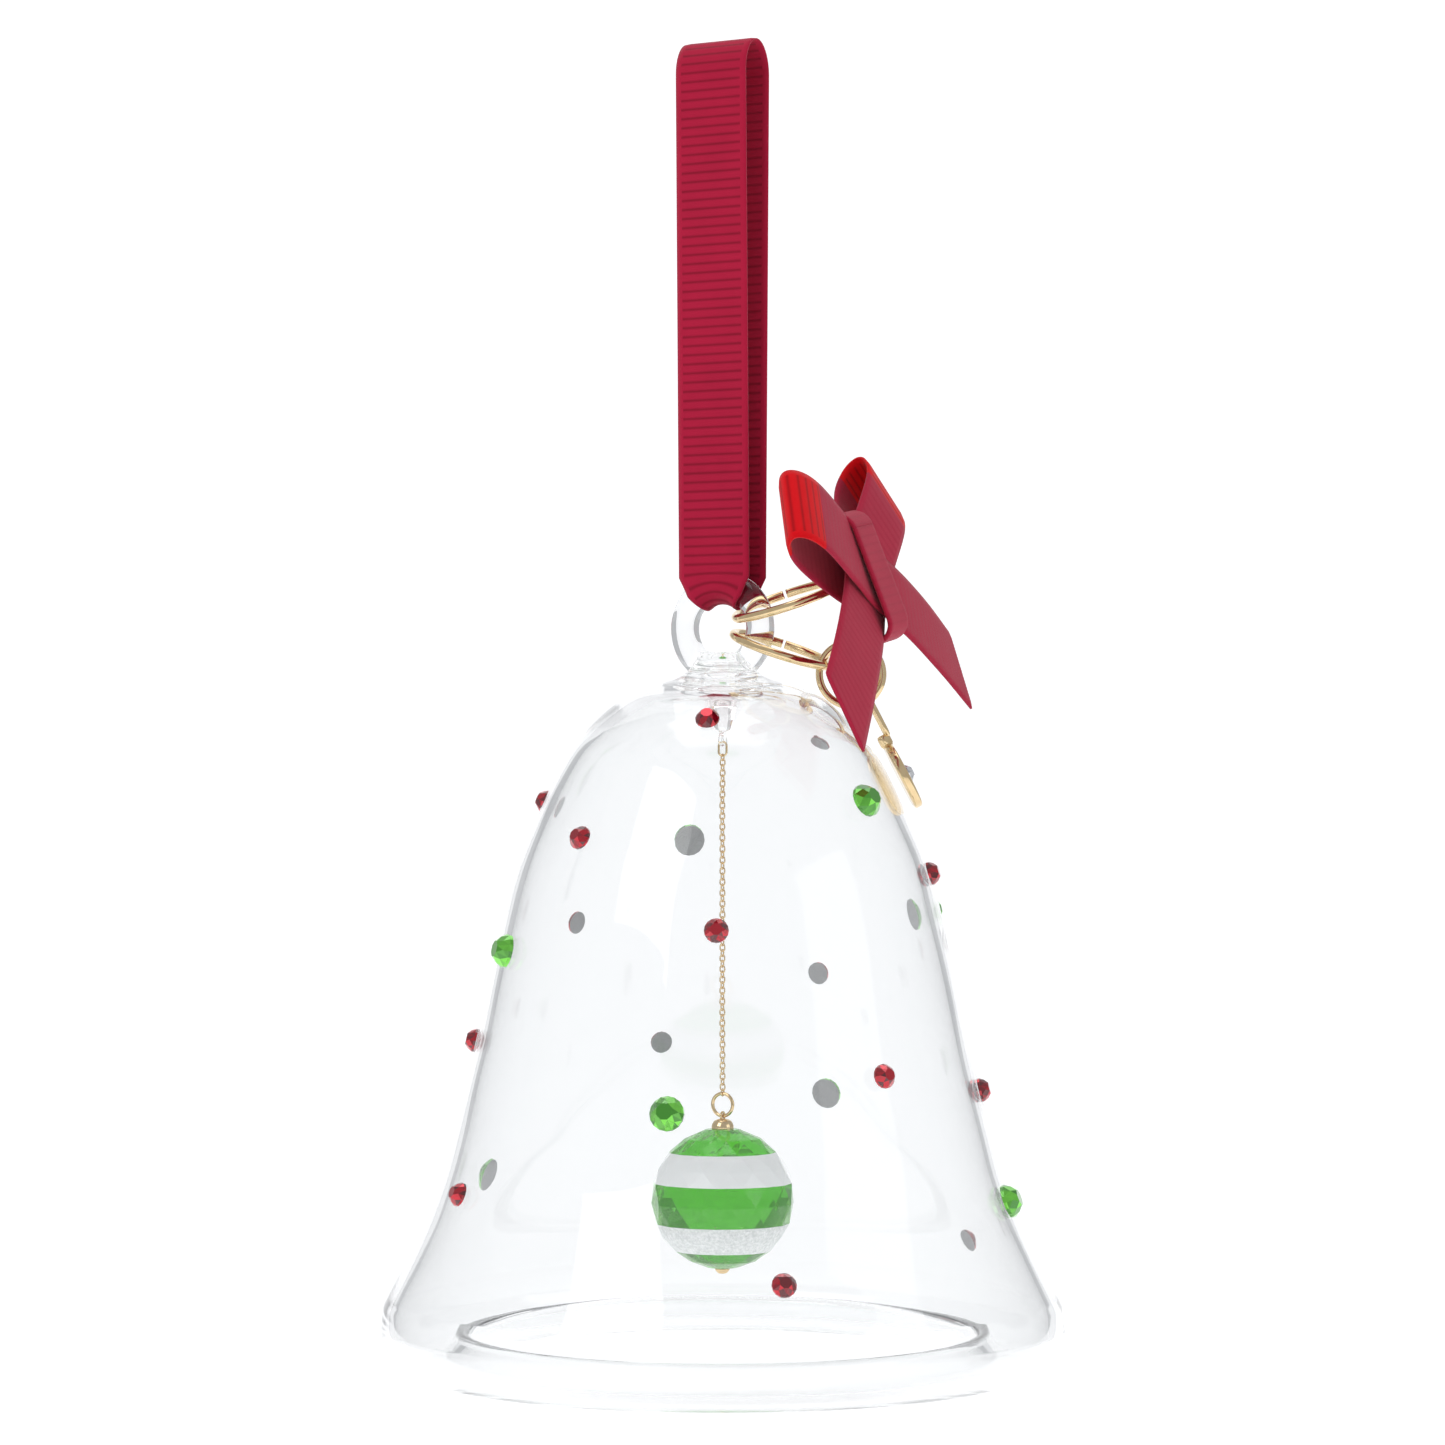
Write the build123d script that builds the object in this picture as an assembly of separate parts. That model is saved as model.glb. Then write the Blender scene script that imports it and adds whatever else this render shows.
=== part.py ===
from build123d import *
from math import cos, radians, sin
import os

# Glass bell ornament on a ribbon loop, with a bow, a tag and a ball clapper on a chain.
# Millimetres. +Z up. The origin is the inside of the ribbon loop's top, where it hangs on a hook.
# The glass ring's plane is XZ, so the ribbon's width runs along X and its strands lie at -Y and +Y.

# Bell
BELL_OUTER = [
    (6.8, -80.75), (10.1, -81.5), (13.1, -83.2), (17.1, -86.9), (19.9, -90.7), (23.6, -98.3),
    (26.5, -105.8), (29.1, -117.2), (31.1, -126.6), (34.0, -138.0), (35.7, -144.0), (38.6, -151.2),
    (42.5, -159.0),
]
BELL_INNER = [
    (5.0, -82.6), (9.4, -83.3), (12.2, -84.8), (16.0, -88.0), (18.6, -91.5), (22.2, -98.9),
    (25.0, -106.2), (27.6, -117.5), (29.6, -126.9), (32.4, -138.4), (34.1, -144.5), (37.0, -151.9),
    (40.7, -159.4),
]
BELL_INNER_TOP = -82.5
BOSS_TOP, BOSS_TOP_RADIUS, BOSS_NECK = -77.2, 2.9, (3.7, -78.6)
BOSS_START, BOSS_END = (0.2, 0, -1), (1, 0, -0.12)  # the way its outline sets off and arrives
ROLL_RADIUS, ROLL_HEIGHT = 37.3, -161.7
ROLL_OUTER, ROLL_INNER, LIP_TURN = 5.7, 3.8, 160  # the lip rolls under by that many degrees
RING_HEIGHT, RING_RADIUS, RING_WIRE = -74.1, 5.4, 1.8

# Ribbon loop
RIBBON_WIDTH, RIBBON_THICKNESS, RIBBON_BEND = 10.0, 0.35, 2.05
LOOP_HALF_WIDTH, LOOP_SHOULDER = 3.1, -4.0
SADDLE_ANGLE, RIBBON_CORNER, STRAND_FOOT, OUTLINE_TOP = 38, -69.6, 2.0, 1.0
STITCH_ROWS, STITCHES_IN_ROW, STITCH_LENGTH, STITCH_WIRE = 2, 5, 1.2, 0.12
STITCH_TOP, STITCH_ROW_PITCH, STITCH_PITCH = -60.0, 3.0, 1.8

# Crystals: angle from +X round the axis, height
RED_CRYSTALS = [
    (-68, -86.0), (-106, -100.5), (-63, -111.5), (-24, -129.0), (-51, -152.5), (18, -105.0),
    (20, -132.0), (-149, -126.0), (-125, -144.0), (-160, -96.0), (60, -153.0), (67, -87.0),
    (164, -111.5), (92, -118.5), (134, -128.0),
]
GREEN_CRYSTALS = [
    (-73, -133.0), (-11, -96.0), (-130, -114.5), (14, -145.5), (-178, -144.0), (47, -110.0),
    (129, -101.0), (93, -135.0),
]
RED_DIAMETER, GREEN_DIAMETER = 3.0, 4.2
CRYSTAL_RISE, CRYSTAL_GIRDLE, CRYSTAL_TABLE = 0.42, 0.12, 0.42  # shares of the diameter
CRYSTAL_GLUE = 0.03

# Anchor and chain
ANCHOR_TOP_RADIUS, ANCHOR_TIP_RADIUS, ANCHOR_HALF_THICKNESS = 1.9, 0.9, 0.3
ANCHOR_ROOT, BLADE_RISE = 1.0, 1.5
EYE_HEIGHT, EYE_RADIUS = -87.9, 0.4
TOP_RING_PIVOT, TOP_RING_WIRE, TOP_RING_HALF_WIDTH, TOP_RING_HALF_LENGTH = -88.05, 0.14, 0.56, 1.11
LINK_WIRE, LINK_HALF_WIDTH, LINK_HALF_LENGTH, LINK_PLAY = 0.09, 0.33, 0.455, 0.01
LINK_COUNT, UPPER_LINK_COUNT = 63, 31

# Clapper
BALL_RADIUS, BALL_HEIGHT, BALL_SIDES = 9.0, -146.2, 18
BALL_LEVELS = [8.75, 7.6, 5.9, 2.1, -3.1, -6.6, -8.0, -8.75]
BALL_RING_HEIGHT, BALL_RING_RADIUS, BALL_RING_WIRE = -134.4, 1.42, 0.225
CAP_RADIUS, CAP_TOP_RADIUS, CAP_TOP, CAP_BASE = 1.4, 0.7, -136.3, -137.45
CAP_EYE_RADIUS, CAP_EYE_WIRE = 0.48, 0.15
PIN_RADIUS, END_CAP_RADIUS, END_CAP_HEIGHT = 0.45, 0.9, 0.6

# Rings on the glass ring's right side
WIRE = 0.575
BOW_RING_RADIUS, BOW_RING_START, BOW_RING_RISE = 7.0, (2.2, -0.5, -72.8), 18.7
TAG_RING_RADIUS, TAG_RING_START, TAG_RING_RISE = 6.4, (1.6, 0.0, -74.85), -17.8
RING_LEAN, RING_TURN = 9.0, 28.5
LINK_RING_RADIUS, LINK_RING_WIRE, LINK_RING_CENTRE = 4.0, 0.475, (16.2, 0.8, -79.9)
RING_GAP, GAP_REACH = 0.25, 1.02  # the slit goes just past the wire's own radius

# Bow
BOW_CENTRE, BOW_FACING, BOW_TILT, BOW_ROLL = (16.6, 6.7, -67.8), 5.0, 19.0, 8.6
STRIP_WIDTH, STRIP_THICKNESS, STRIP_ANGLE = 10.0, 0.6, 56.0
LOOP_LENGTH, LOOP_BEND, TAIL_LENGTH, TAIL_SLANT = 20.0, 1.6, 27.0, 2.0
OVER_LAYER, UNDER_LAYER, LOOP_END = 0.75, 0.1, 2.0  # the loop's end runs past the middle
WRAP_WIDTH, WRAP_HALF_HEIGHT, WRAP_HALF_DEPTH, WRAP_THICKNESS = 6.5, 8.8, 2.6, 0.6

# Tag
TAG_CENTRE, TAG_ANGLE = (22.75, 0.8, -92.7), 62.7
TAG_RADIUS, TAG_THICKNESS, TAG_EDGE = 4.45, 1.15, 0.2
BAIL_WIRE, BAIL_HALF_WIDTH, BAIL_HALF_LENGTH, BAIL_PIVOT = 0.4, 1.1, 2.9, (18.08, 0.8, -82.37)
COLLAR_SIZE = (1.6, 2.4, 1.4)
TAG_CRYSTAL_DIAMETER, TAG_CRYSTAL_RISE = 2.3, 0.8

TOWARD_FRONT = Vector(sin(radians(RING_TURN)), -cos(radians(RING_TURN)), 0)
TOWARD_RIGHT = Vector(cos(radians(RING_TURN)), sin(radians(RING_TURN)), 0)
UP = Vector(0, 0, 1)
OUTER_WALL = Spline([(r, 0, z) for r, z in BELL_OUTER])


def beside(right, front, height):
    """A point given by its reach to the right and to the front, as the rings lie."""
    return TOWARD_RIGHT * right + TOWARD_FRONT * front + UP * height


def ring(centre, axis, radius, wire):
    return Plane(origin=centre, z_dir=axis) * Torus(radius, wire)


def oval(plane, half_width, half_length, wire):
    """An oval ring of round wire, long along the plane's y."""
    straight = half_length - half_width
    side = Line((half_width, -straight), (half_width, straight))
    top = RadiusArc((half_width, straight), (-half_width, straight), -half_width)
    other = Line((-half_width, straight), (-half_width, -straight))
    base = RadiusArc((-half_width, -straight), (half_width, -straight), -half_width)
    path = plane * Wire([side, top, other, base])
    profile = Plane(origin=path @ 0, z_dir=path % 0) * Circle(wire)
    return sweep(profile, path)


def single(shape):
    """The one solid of a shape that a cut or a union left in a group."""
    return max(shape.solids(), key=lambda s: s.volume)


# ---- bell ----

def bell_section():
    inner = Spline([(r, 0, z) for r, z in reversed(BELL_INNER)])
    mid = (ROLL_OUTER + ROLL_INNER) / 2

    def on_roll(radius, angle):
        return (ROLL_RADIUS + radius * cos(radians(angle)), 0, ROLL_HEIGHT - radius * sin(radians(angle)))

    lip_out = on_roll(ROLL_OUTER, LIP_TURN)
    lip_in = on_roll(ROLL_INNER, LIP_TURN)
    half = (ROLL_OUTER - ROLL_INNER) / 2
    past = LIP_TURN + 90
    lip_tip = tuple(
        a + half * b
        for a, b in zip(on_roll(mid, LIP_TURN), (cos(radians(past)), 0, -sin(radians(past))))
    )
    start = (BELL_OUTER[-1][0], 0, BELL_OUTER[-1][1])
    shoulder = on_roll(ROLL_OUTER, 0)
    inner_end = (BELL_INNER[-1][0], 0, BELL_INNER[-1][1])
    edges = [
        Line((0, 0, BOSS_TOP), (BOSS_TOP_RADIUS, 0, BOSS_TOP)),
        Spline(
            [(BOSS_TOP_RADIUS, 0, BOSS_TOP), (BOSS_NECK[0], 0, BOSS_NECK[1]), OUTER_WALL @ 0],
            tangents=[BOSS_START, BOSS_END],
        ),
        OUTER_WALL,
        Line(start, shoulder),
        ThreePointArc(shoulder, on_roll(ROLL_OUTER, LIP_TURN / 2), lip_out),
        ThreePointArc(lip_out, lip_tip, lip_in),
        ThreePointArc(lip_in, on_roll(ROLL_INNER, LIP_TURN / 2), on_roll(ROLL_INNER, 0)),
        Line(on_roll(ROLL_INNER, 0), inner_end),
        inner,
        Line((BELL_INNER[0][0], 0, BELL_INNER[0][1]), (0, 0, BELL_INNER_TOP)),
        Line((0, 0, BELL_INNER_TOP), (0, 0, BOSS_TOP)),
    ]
    return make_face(edges)


hanging_ring_whole = ring((0, 0, RING_HEIGHT), (0, 1, 0), RING_RADIUS, RING_WIRE)
bell_glass = revolve(bell_section(), Axis.Z)
hanging_ring = single(hanging_ring_whole - bell_glass)


def wall_at(height):
    """The outer wall's radius and outward slope at a height."""
    low, high = 0.0, 1.0
    for _ in range(40):
        middle = (low + high) / 2
        if (OUTER_WALL @ middle).Z > height:
            low = middle
        else:
            high = middle
    along = OUTER_WALL % low
    return (OUTER_WALL @ low).X, Vector(-along.Z, 0, along.X)


def crystal(diameter, angle, height):
    """A flat-backed cut stone that stands on the glass."""
    radius, normal = wall_at(height)
    girdle = diameter * CRYSTAL_GIRDLE
    stone = Pos(0, 0, girdle / 2) * Cylinder(diameter / 2, girdle)
    stone += loft([
        Pos(0, 0, girdle) * Circle(diameter / 2),
        Pos(0, 0, diameter * CRYSTAL_RISE) * Circle(diameter / 2 * CRYSTAL_TABLE),
    ])
    seat = Vector(radius, 0, height) + normal * CRYSTAL_GLUE
    return Rot(0, 0, angle) * (Plane(origin=seat, x_dir=(0, 1, 0), z_dir=normal) * stone)


# ---- ribbon loop ----

def ribbon_band(inset):
    """The area that the loop covers, seen along X, a given distance inside its outer face."""
    bend = RIBBON_BEND + RIBBON_THICKNESS - inset
    top = LOOP_HALF_WIDTH + RIBBON_THICKNESS / 2 - inset
    tube = RING_HEIGHT + RING_RADIUS
    foot = tube - STRAND_FOOT
    return make_face(Plane.YZ * Wire([
        Line((-bend, tube), (-top, LOOP_SHOULDER)),
        ThreePointArc((-top, LOOP_SHOULDER), (0, RIBBON_THICKNESS - inset), (top, LOOP_SHOULDER)),
        Line((top, LOOP_SHOULDER), (bend, tube)),
        Line((bend, tube), (bend, foot)),
        Line((bend, foot), (-bend, foot)),
        Line((-bend, foot), (-bend, tube)),
    ]))


def ribbon_outline():
    """The flat strands' outline, seen along Y, down to the arch over the glass ring."""
    half = RIBBON_WIDTH / 2
    side = (RING_RADIUS * sin(radians(SADDLE_ANGLE)), RING_HEIGHT + RING_RADIUS * cos(radians(SADDLE_ANGLE)))
    top = RING_HEIGHT + RING_RADIUS
    return make_face(Plane.XZ * Wire([
        Line((-half, OUTLINE_TOP), (half, OUTLINE_TOP)),
        Line((half, OUTLINE_TOP), (half, RIBBON_CORNER)),
        Line((half, RIBBON_CORNER), side),
        ThreePointArc(side, (0, top), (-side[0], side[1])),
        Line((-side[0], side[1]), (-half, RIBBON_CORNER)),
        Line((-half, RIBBON_CORNER), (-half, OUTLINE_TOP)),
    ]))


def ribbon_saddle():
    """The part that passes under the glass ring and follows its curve."""
    centre = RING_HEIGHT + RING_RADIUS
    outer = RIBBON_BEND + RIBBON_THICKNESS
    half_disc = Plane.YZ * (
        Pos(0, centre) * (Circle(outer) - Circle(RIBBON_BEND))
        & Pos(0, centre - outer / 2) * Rectangle(3 * outer, outer)
    )
    turn = Axis((0, 0, RING_HEIGHT), (0, 1, 0))
    return revolve(half_disc.rotate(turn, -SADDLE_ANGLE), turn, 2 * SADDLE_ANGLE)


loop = extrude(ribbon_band(0), RIBBON_WIDTH, both=True)
loop -= extrude(ribbon_band(RIBBON_THICKNESS), RIBBON_WIDTH, both=True)
loop &= extrude(ribbon_outline(), RIBBON_WIDTH, both=True)
hanging_ribbon = single(loop + ribbon_saddle())


def ribbon_stitches():
    """Two rows of stitches on the back strand, where the loop's ends overlap."""
    stitches = []
    for row in range(STITCH_ROWS):
        height = STITCH_TOP - row * STITCH_ROW_PITCH
        top, bottom = LOOP_HALF_WIDTH + RIBBON_THICKNESS / 2, RIBBON_BEND + RIBBON_THICKNESS
        share = (height - LOOP_SHOULDER) / (RING_HEIGHT + RING_RADIUS - LOOP_SHOULDER)
        face = top + (bottom - top) * share
        for n in range(STITCHES_IN_ROW):
            across = (n - (STITCHES_IN_ROW - 1) / 2) * STITCH_PITCH
            stitch = Rot(0, 90, 0) * Cylinder(STITCH_WIRE, STITCH_LENGTH)
            stitches.append(Pos(across, face + STITCH_WIRE, height) * stitch)
    return Compound(stitches)


# ---- anchor, chain and clapper ----

def chain_anchor():
    peg = loft([
        Pos(0, 0, BELL_INNER_TOP + ANCHOR_ROOT) * Circle(ANCHOR_TOP_RADIUS),
        Pos(0, 0, EYE_HEIGHT) * Circle(ANCHOR_TIP_RADIUS),
    ]) + Pos(0, 0, EYE_HEIGHT) * Sphere(ANCHOR_TIP_RADIUS)
    blade = loft([
        Pos(0, 0, BELL_INNER_TOP + ANCHOR_ROOT) * Rectangle(2 * ANCHOR_TOP_RADIUS, 2 * ANCHOR_TOP_RADIUS),
        Pos(0, 0, EYE_HEIGHT + BLADE_RISE) * Rectangle(2 * ANCHOR_HALF_THICKNESS, 2 * ANCHOR_TOP_RADIUS),
    ]) + Pos(0, 0, EYE_HEIGHT) * Box(2 * ANCHOR_HALF_THICKNESS, 2 * ANCHOR_TOP_RADIUS, 2 * BLADE_RISE)
    hole = Pos(0, 0, EYE_HEIGHT) * Rot(0, 90, 0) * Cylinder(EYE_RADIUS, 4 * ANCHOR_HALF_THICKNESS)
    return single((peg & blade) - hole - bell_glass)


def link_plane(n, height):
    """Even links lie in the YZ plane and odd ones in the XZ plane."""
    return Plane(origin=(0, 0, height), x_dir=(0, 1, 0) if n % 2 == 0 else (1, 0, 0),
                 z_dir=(1, 0, 0) if n % 2 == 0 else (0, -1, 0))


top_ring_centre = TOP_RING_PIVOT - TOP_RING_HALF_LENGTH
chain_top_ring = oval(
    link_plane(1, top_ring_centre), TOP_RING_HALF_WIDTH, TOP_RING_HALF_LENGTH, TOP_RING_WIRE)
ball_ring = ring((0, 0, BALL_RING_HEIGHT), (0, 1, 0), BALL_RING_RADIUS, BALL_RING_WIRE)
first_link = top_ring_centre - TOP_RING_HALF_LENGTH + TOP_RING_WIRE + LINK_WIRE + LINK_PLAY - LINK_HALF_LENGTH
last_link = (BALL_RING_HEIGHT + BALL_RING_RADIUS - BALL_RING_WIRE - LINK_WIRE - LINK_PLAY) + LINK_HALF_LENGTH
link_pitch = (first_link - last_link) / (LINK_COUNT - 1)


def chain_links(first, past):
    return Compound([
        oval(link_plane(n, first_link - n * link_pitch), LINK_HALF_WIDTH, LINK_HALF_LENGTH, LINK_WIRE)
        for n in range(first, past)
    ])


def clapper_ball():
    """A cut bead: flat facets in bands round a drilled ball."""
    def level(height):
        reach = (BALL_RADIUS ** 2 - height ** 2) ** 0.5
        return Pos(0, 0, BALL_HEIGHT + height) * RegularPolygon(reach, BALL_SIDES)

    bead = Part()
    for high, low in zip(BALL_LEVELS, BALL_LEVELS[1:]):
        bead += loft([level(low), level(high)], ruled=True)
    return single(bead - Pos(0, 0, BALL_HEIGHT) * Cylinder(PIN_RADIUS, 3 * BALL_RADIUS))


def ball_cap():
    cap = loft([Pos(0, 0, CAP_BASE) * Circle(CAP_RADIUS), Pos(0, 0, CAP_TOP) * Circle(CAP_TOP_RADIUS)])
    cap += ring((0, 0, eye_centre), (1, 0, 0), CAP_EYE_RADIUS, CAP_EYE_WIRE)
    return single(cap - Pos(0, 0, BALL_HEIGHT) * Sphere(BALL_RADIUS))


eye_centre = BALL_RING_HEIGHT - BALL_RING_RADIUS
pin_top, pin_base = CAP_BASE, BALL_HEIGHT - BALL_RADIUS
clapper = {
    "clapper_ball": clapper_ball(),
    "ball_cap": ball_cap() - Pos(0, 0, BALL_HEIGHT) * Cylinder(PIN_RADIUS, 2 * (CAP_BASE - BALL_HEIGHT)),
    "ball_pin": Pos(0, 0, (pin_top + pin_base) / 2) * Cylinder(PIN_RADIUS, pin_top - pin_base),
    "ball_end_cap": Pos(0, 0, pin_base) * (
        Cylinder(END_CAP_RADIUS, END_CAP_HEIGHT, align=(Align.CENTER, Align.CENTER, Align.MAX))
    ),
}


# ---- rings at the side ----

def side_ring(start, rise, radius):
    """A split ring whose near end lies inside the glass ring, and the same ring unsplit."""
    along = TOWARD_RIGHT * cos(radians(rise)) + UP * sin(radians(rise))
    across = TOWARD_FRONT.rotate(Axis((0, 0, 0), along), RING_LEAN)
    centre = Vector(*start) + along * radius
    whole = Plane(origin=centre, x_dir=along, z_dir=along.cross(across)) * Torus(radius, WIRE)
    gap = Pos(*(centre - across * radius)) * Sphere(WIRE * GAP_REACH)
    slit = Plane(origin=centre - across * radius, z_dir=along) * Box(4 * WIRE, 4 * WIRE, RING_GAP)
    return single(whole - (slit & gap)), whole


bow_ring, bow_ring_whole = side_ring(BOW_RING_START, BOW_RING_RISE, BOW_RING_RADIUS)
tag_ring, _ = side_ring(TAG_RING_START, TAG_RING_RISE, TAG_RING_RADIUS)
tag_link_ring = ring(beside(*LINK_RING_CENTRE), TOWARD_FRONT, LINK_RING_RADIUS, LINK_RING_WIRE)


# ---- bow ----

def bow_plane():
    """The bow's own plane: x along its width, y up it, z out of its front."""
    facing = Vector(cos(radians(BOW_FACING)), sin(radians(BOW_FACING)), 0)
    side = UP.cross(facing)
    front = facing * cos(radians(BOW_TILT)) + UP * sin(radians(BOW_TILT))
    up = front.cross(side)
    width = side * cos(radians(BOW_ROLL)) + up * sin(radians(BOW_ROLL))
    return Plane(origin=BOW_CENTRE, x_dir=width, z_dir=front)


def bow_leg(side, layer):
    """One half of the strip: a tail that crosses the front, and the loop it bends into."""
    run = Vector(side * sin(radians(STRIP_ANGLE)), cos(radians(STRIP_ANGLE)), 0)
    upright = Plane(origin=(0, 0, 0), x_dir=run, z_dir=run.cross(Vector(0, 0, 1)))
    outer, inner = LOOP_BEND, LOOP_BEND - STRIP_THICKNESS
    bend = LOOP_LENGTH - LOOP_BEND
    back = -layer - STRIP_THICKNESS
    shape = make_face(upright * Wire([
        Line((-TAIL_LENGTH - TAIL_SLANT, layer), (0, layer)),
        Line((0, layer), (bend, inner)),
        ThreePointArc((bend, inner), (bend + inner, 0), (bend, -inner)),
        Line((bend, -inner), (0, back + STRIP_THICKNESS)),
        Line((0, back + STRIP_THICKNESS), (-LOOP_END, back + STRIP_THICKNESS)),
        Line((-LOOP_END, back + STRIP_THICKNESS), (-LOOP_END, back)),
        Line((-LOOP_END, back), (0, back)),
        Line((0, back), (bend, -outer)),
        ThreePointArc((bend, -outer), (bend + outer, 0), (bend, outer)),
        Line((bend, outer), (0, layer + STRIP_THICKNESS)),
        Line((0, layer + STRIP_THICKNESS), (-TAIL_LENGTH - TAIL_SLANT, layer + STRIP_THICKNESS)),
        Line((-TAIL_LENGTH - TAIL_SLANT, layer + STRIP_THICKNESS), (-TAIL_LENGTH - TAIL_SLANT, layer)),
    ]))
    leg = extrude(shape, STRIP_WIDTH / 2, both=True)
    end = -run * TAIL_LENGTH
    half = STRIP_WIDTH / 2
    across = Vector(run.Y, -run.X, 0) * side
    tip, corner = end + across * half - run * TAIL_SLANT, end - across * half + run * TAIL_SLANT
    cut = (tip - corner).normalized()
    away = cut.cross(Vector(0, 0, 1))
    if away.dot(run) > 0:
        away = -away
    beyond = Plane(origin=(tip + corner) * 0.5 + away * STRIP_WIDTH, x_dir=cut, z_dir=(0, 0, 1))
    waste = beyond * Box(4 * STRIP_WIDTH, 2 * STRIP_WIDTH, STRIP_WIDTH)
    return leg - waste


bow = bow_plane()
wrap_outline = SlotOverall(2 * WRAP_HALF_HEIGHT, 2 * WRAP_HALF_DEPTH)
wrap_hollow = SlotOverall(2 * (WRAP_HALF_HEIGHT - WRAP_THICKNESS), 2 * (WRAP_HALF_DEPTH - WRAP_THICKNESS))
wrap_plane = Plane(origin=(0, 0, 0), x_dir=(0, 1, 0), z_dir=(1, 0, 0))
bow_wrap = bow * extrude(wrap_plane * (wrap_outline - wrap_hollow), WRAP_WIDTH / 2, both=True)
bow_strip = bow * (bow_leg(-1, OVER_LAYER) + bow_leg(1, UNDER_LAYER))
bow_strip = single(bow_strip - bow_wrap - bow_ring_whole)
bow_wrap = single(bow_wrap - bow_ring_whole)


# ---- tag ----

tag_down = TOWARD_RIGHT * cos(radians(TAG_ANGLE)) - UP * sin(radians(TAG_ANGLE))
tag_out = TOWARD_RIGHT * sin(radians(TAG_ANGLE)) + UP * cos(radians(TAG_ANGLE))
tag_middle = beside(*TAG_CENTRE)
tag_top = tag_middle - tag_down * TAG_RADIUS
collar = Plane(origin=tag_top, x_dir=tag_out, z_dir=tag_down) * (
    Pos(0, 0, -COLLAR_SIZE[2] / 4) * Box(*COLLAR_SIZE)
)
tag_disc = Plane(origin=tag_middle, z_dir=tag_out) * Cylinder(TAG_RADIUS, TAG_THICKNESS)
tag_disc = chamfer(tag_disc.edges().filter_by(GeomType.CIRCLE), TAG_EDGE)
tag_disc = single(tag_disc + collar)
bail_centre = beside(*BAIL_PIVOT) + tag_down * BAIL_HALF_LENGTH
tag_bail = oval(Plane(origin=bail_centre, x_dir=TOWARD_FRONT, z_dir=TOWARD_FRONT.cross(-tag_down)),
                BAIL_HALF_WIDTH, BAIL_HALF_LENGTH, BAIL_WIRE)
tag_bail = single(tag_bail - tag_disc)
tag_crystal = Plane(origin=tag_middle + tag_out * (TAG_THICKNESS / 2), z_dir=tag_out) * loft([
    Circle(TAG_CRYSTAL_DIAMETER / 2),
    Pos(0, 0, TAG_CRYSTAL_RISE) * Circle(TAG_CRYSTAL_DIAMETER / 4),
])

# ---- every part, in its place ----

nodes = {
    "hanging_ribbon": hanging_ribbon,
    "ribbon_stitches": ribbon_stitches(),
    "bell_glass": bell_glass,
    "hanging_ring": hanging_ring,
    "chain_anchor": chain_anchor(),
    "chain_top_ring": chain_top_ring,
    "chain_upper_links": chain_links(0, UPPER_LINK_COUNT),
    "chain_lower_links": chain_links(UPPER_LINK_COUNT, LINK_COUNT),
    "ball_ring": ball_ring,
    **clapper,
    "bow_ring": bow_ring,
    "bow_strip": bow_strip,
    "bow_wrap": bow_wrap,
    "tag_ring": tag_ring,
    "tag_link_ring": tag_link_ring,
    "tag_bail": tag_bail,
    "tag_disc": tag_disc,
    "tag_crystal": tag_crystal,
}
for number, (angle, height) in enumerate(RED_CRYSTALS, 1):
    nodes[f"red_crystal_{number:02d}"] = crystal(RED_DIAMETER, angle, height)
for number, (angle, height) in enumerate(GREEN_CRYSTALS, 1):
    nodes[f"green_crystal_{number:02d}"] = crystal(GREEN_DIAMETER, angle, height)

os.makedirs("parts", exist_ok=True)
for name, shape in nodes.items():
    export_step(shape, f"parts/{name}.step")
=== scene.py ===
import bmesh
import bpy
from math import atan, cos, pi, radians, sin, sqrt
from mathutils import Matrix, Vector, noise


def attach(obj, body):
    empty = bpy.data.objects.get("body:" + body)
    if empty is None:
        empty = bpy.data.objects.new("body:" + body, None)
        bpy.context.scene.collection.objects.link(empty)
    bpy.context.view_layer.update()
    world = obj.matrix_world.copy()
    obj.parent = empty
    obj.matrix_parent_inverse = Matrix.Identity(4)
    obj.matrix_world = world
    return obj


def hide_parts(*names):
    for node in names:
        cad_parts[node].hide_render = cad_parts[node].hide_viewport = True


# A clear glass bell ornament: ribbon loop, glued crystals, ball clapper on a chain, bow and tag.
# Lengths below are millimetres; MM turns them into metres.

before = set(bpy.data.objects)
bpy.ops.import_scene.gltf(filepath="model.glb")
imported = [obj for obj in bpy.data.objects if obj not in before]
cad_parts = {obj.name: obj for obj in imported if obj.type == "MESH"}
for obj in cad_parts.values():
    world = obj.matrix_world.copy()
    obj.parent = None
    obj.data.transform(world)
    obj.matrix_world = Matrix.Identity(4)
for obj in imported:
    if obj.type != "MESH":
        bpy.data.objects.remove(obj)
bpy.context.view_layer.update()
MM = 0.001

RING_HEIGHT, RING_RADIUS, RING_WIRE = -74.1, 5.4, 1.8
RIBBON_HALF, RIBBON_THICKNESS, RIB_PITCH, RIB_DEPTH = 5.0, 0.34, 1.15, 0.05
GOLD_WIRE = 0.575
SIDE_TURN = 28.5
FRONT = Vector((sin(radians(SIDE_TURN)), -cos(radians(SIDE_TURN)), 0))
RIGHT = Vector((cos(radians(SIDE_TURN)), sin(radians(SIDE_TURN)), 0))
UP = Vector((0, 0, 1))


# ---------------------------------------------------------------- finishes

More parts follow.
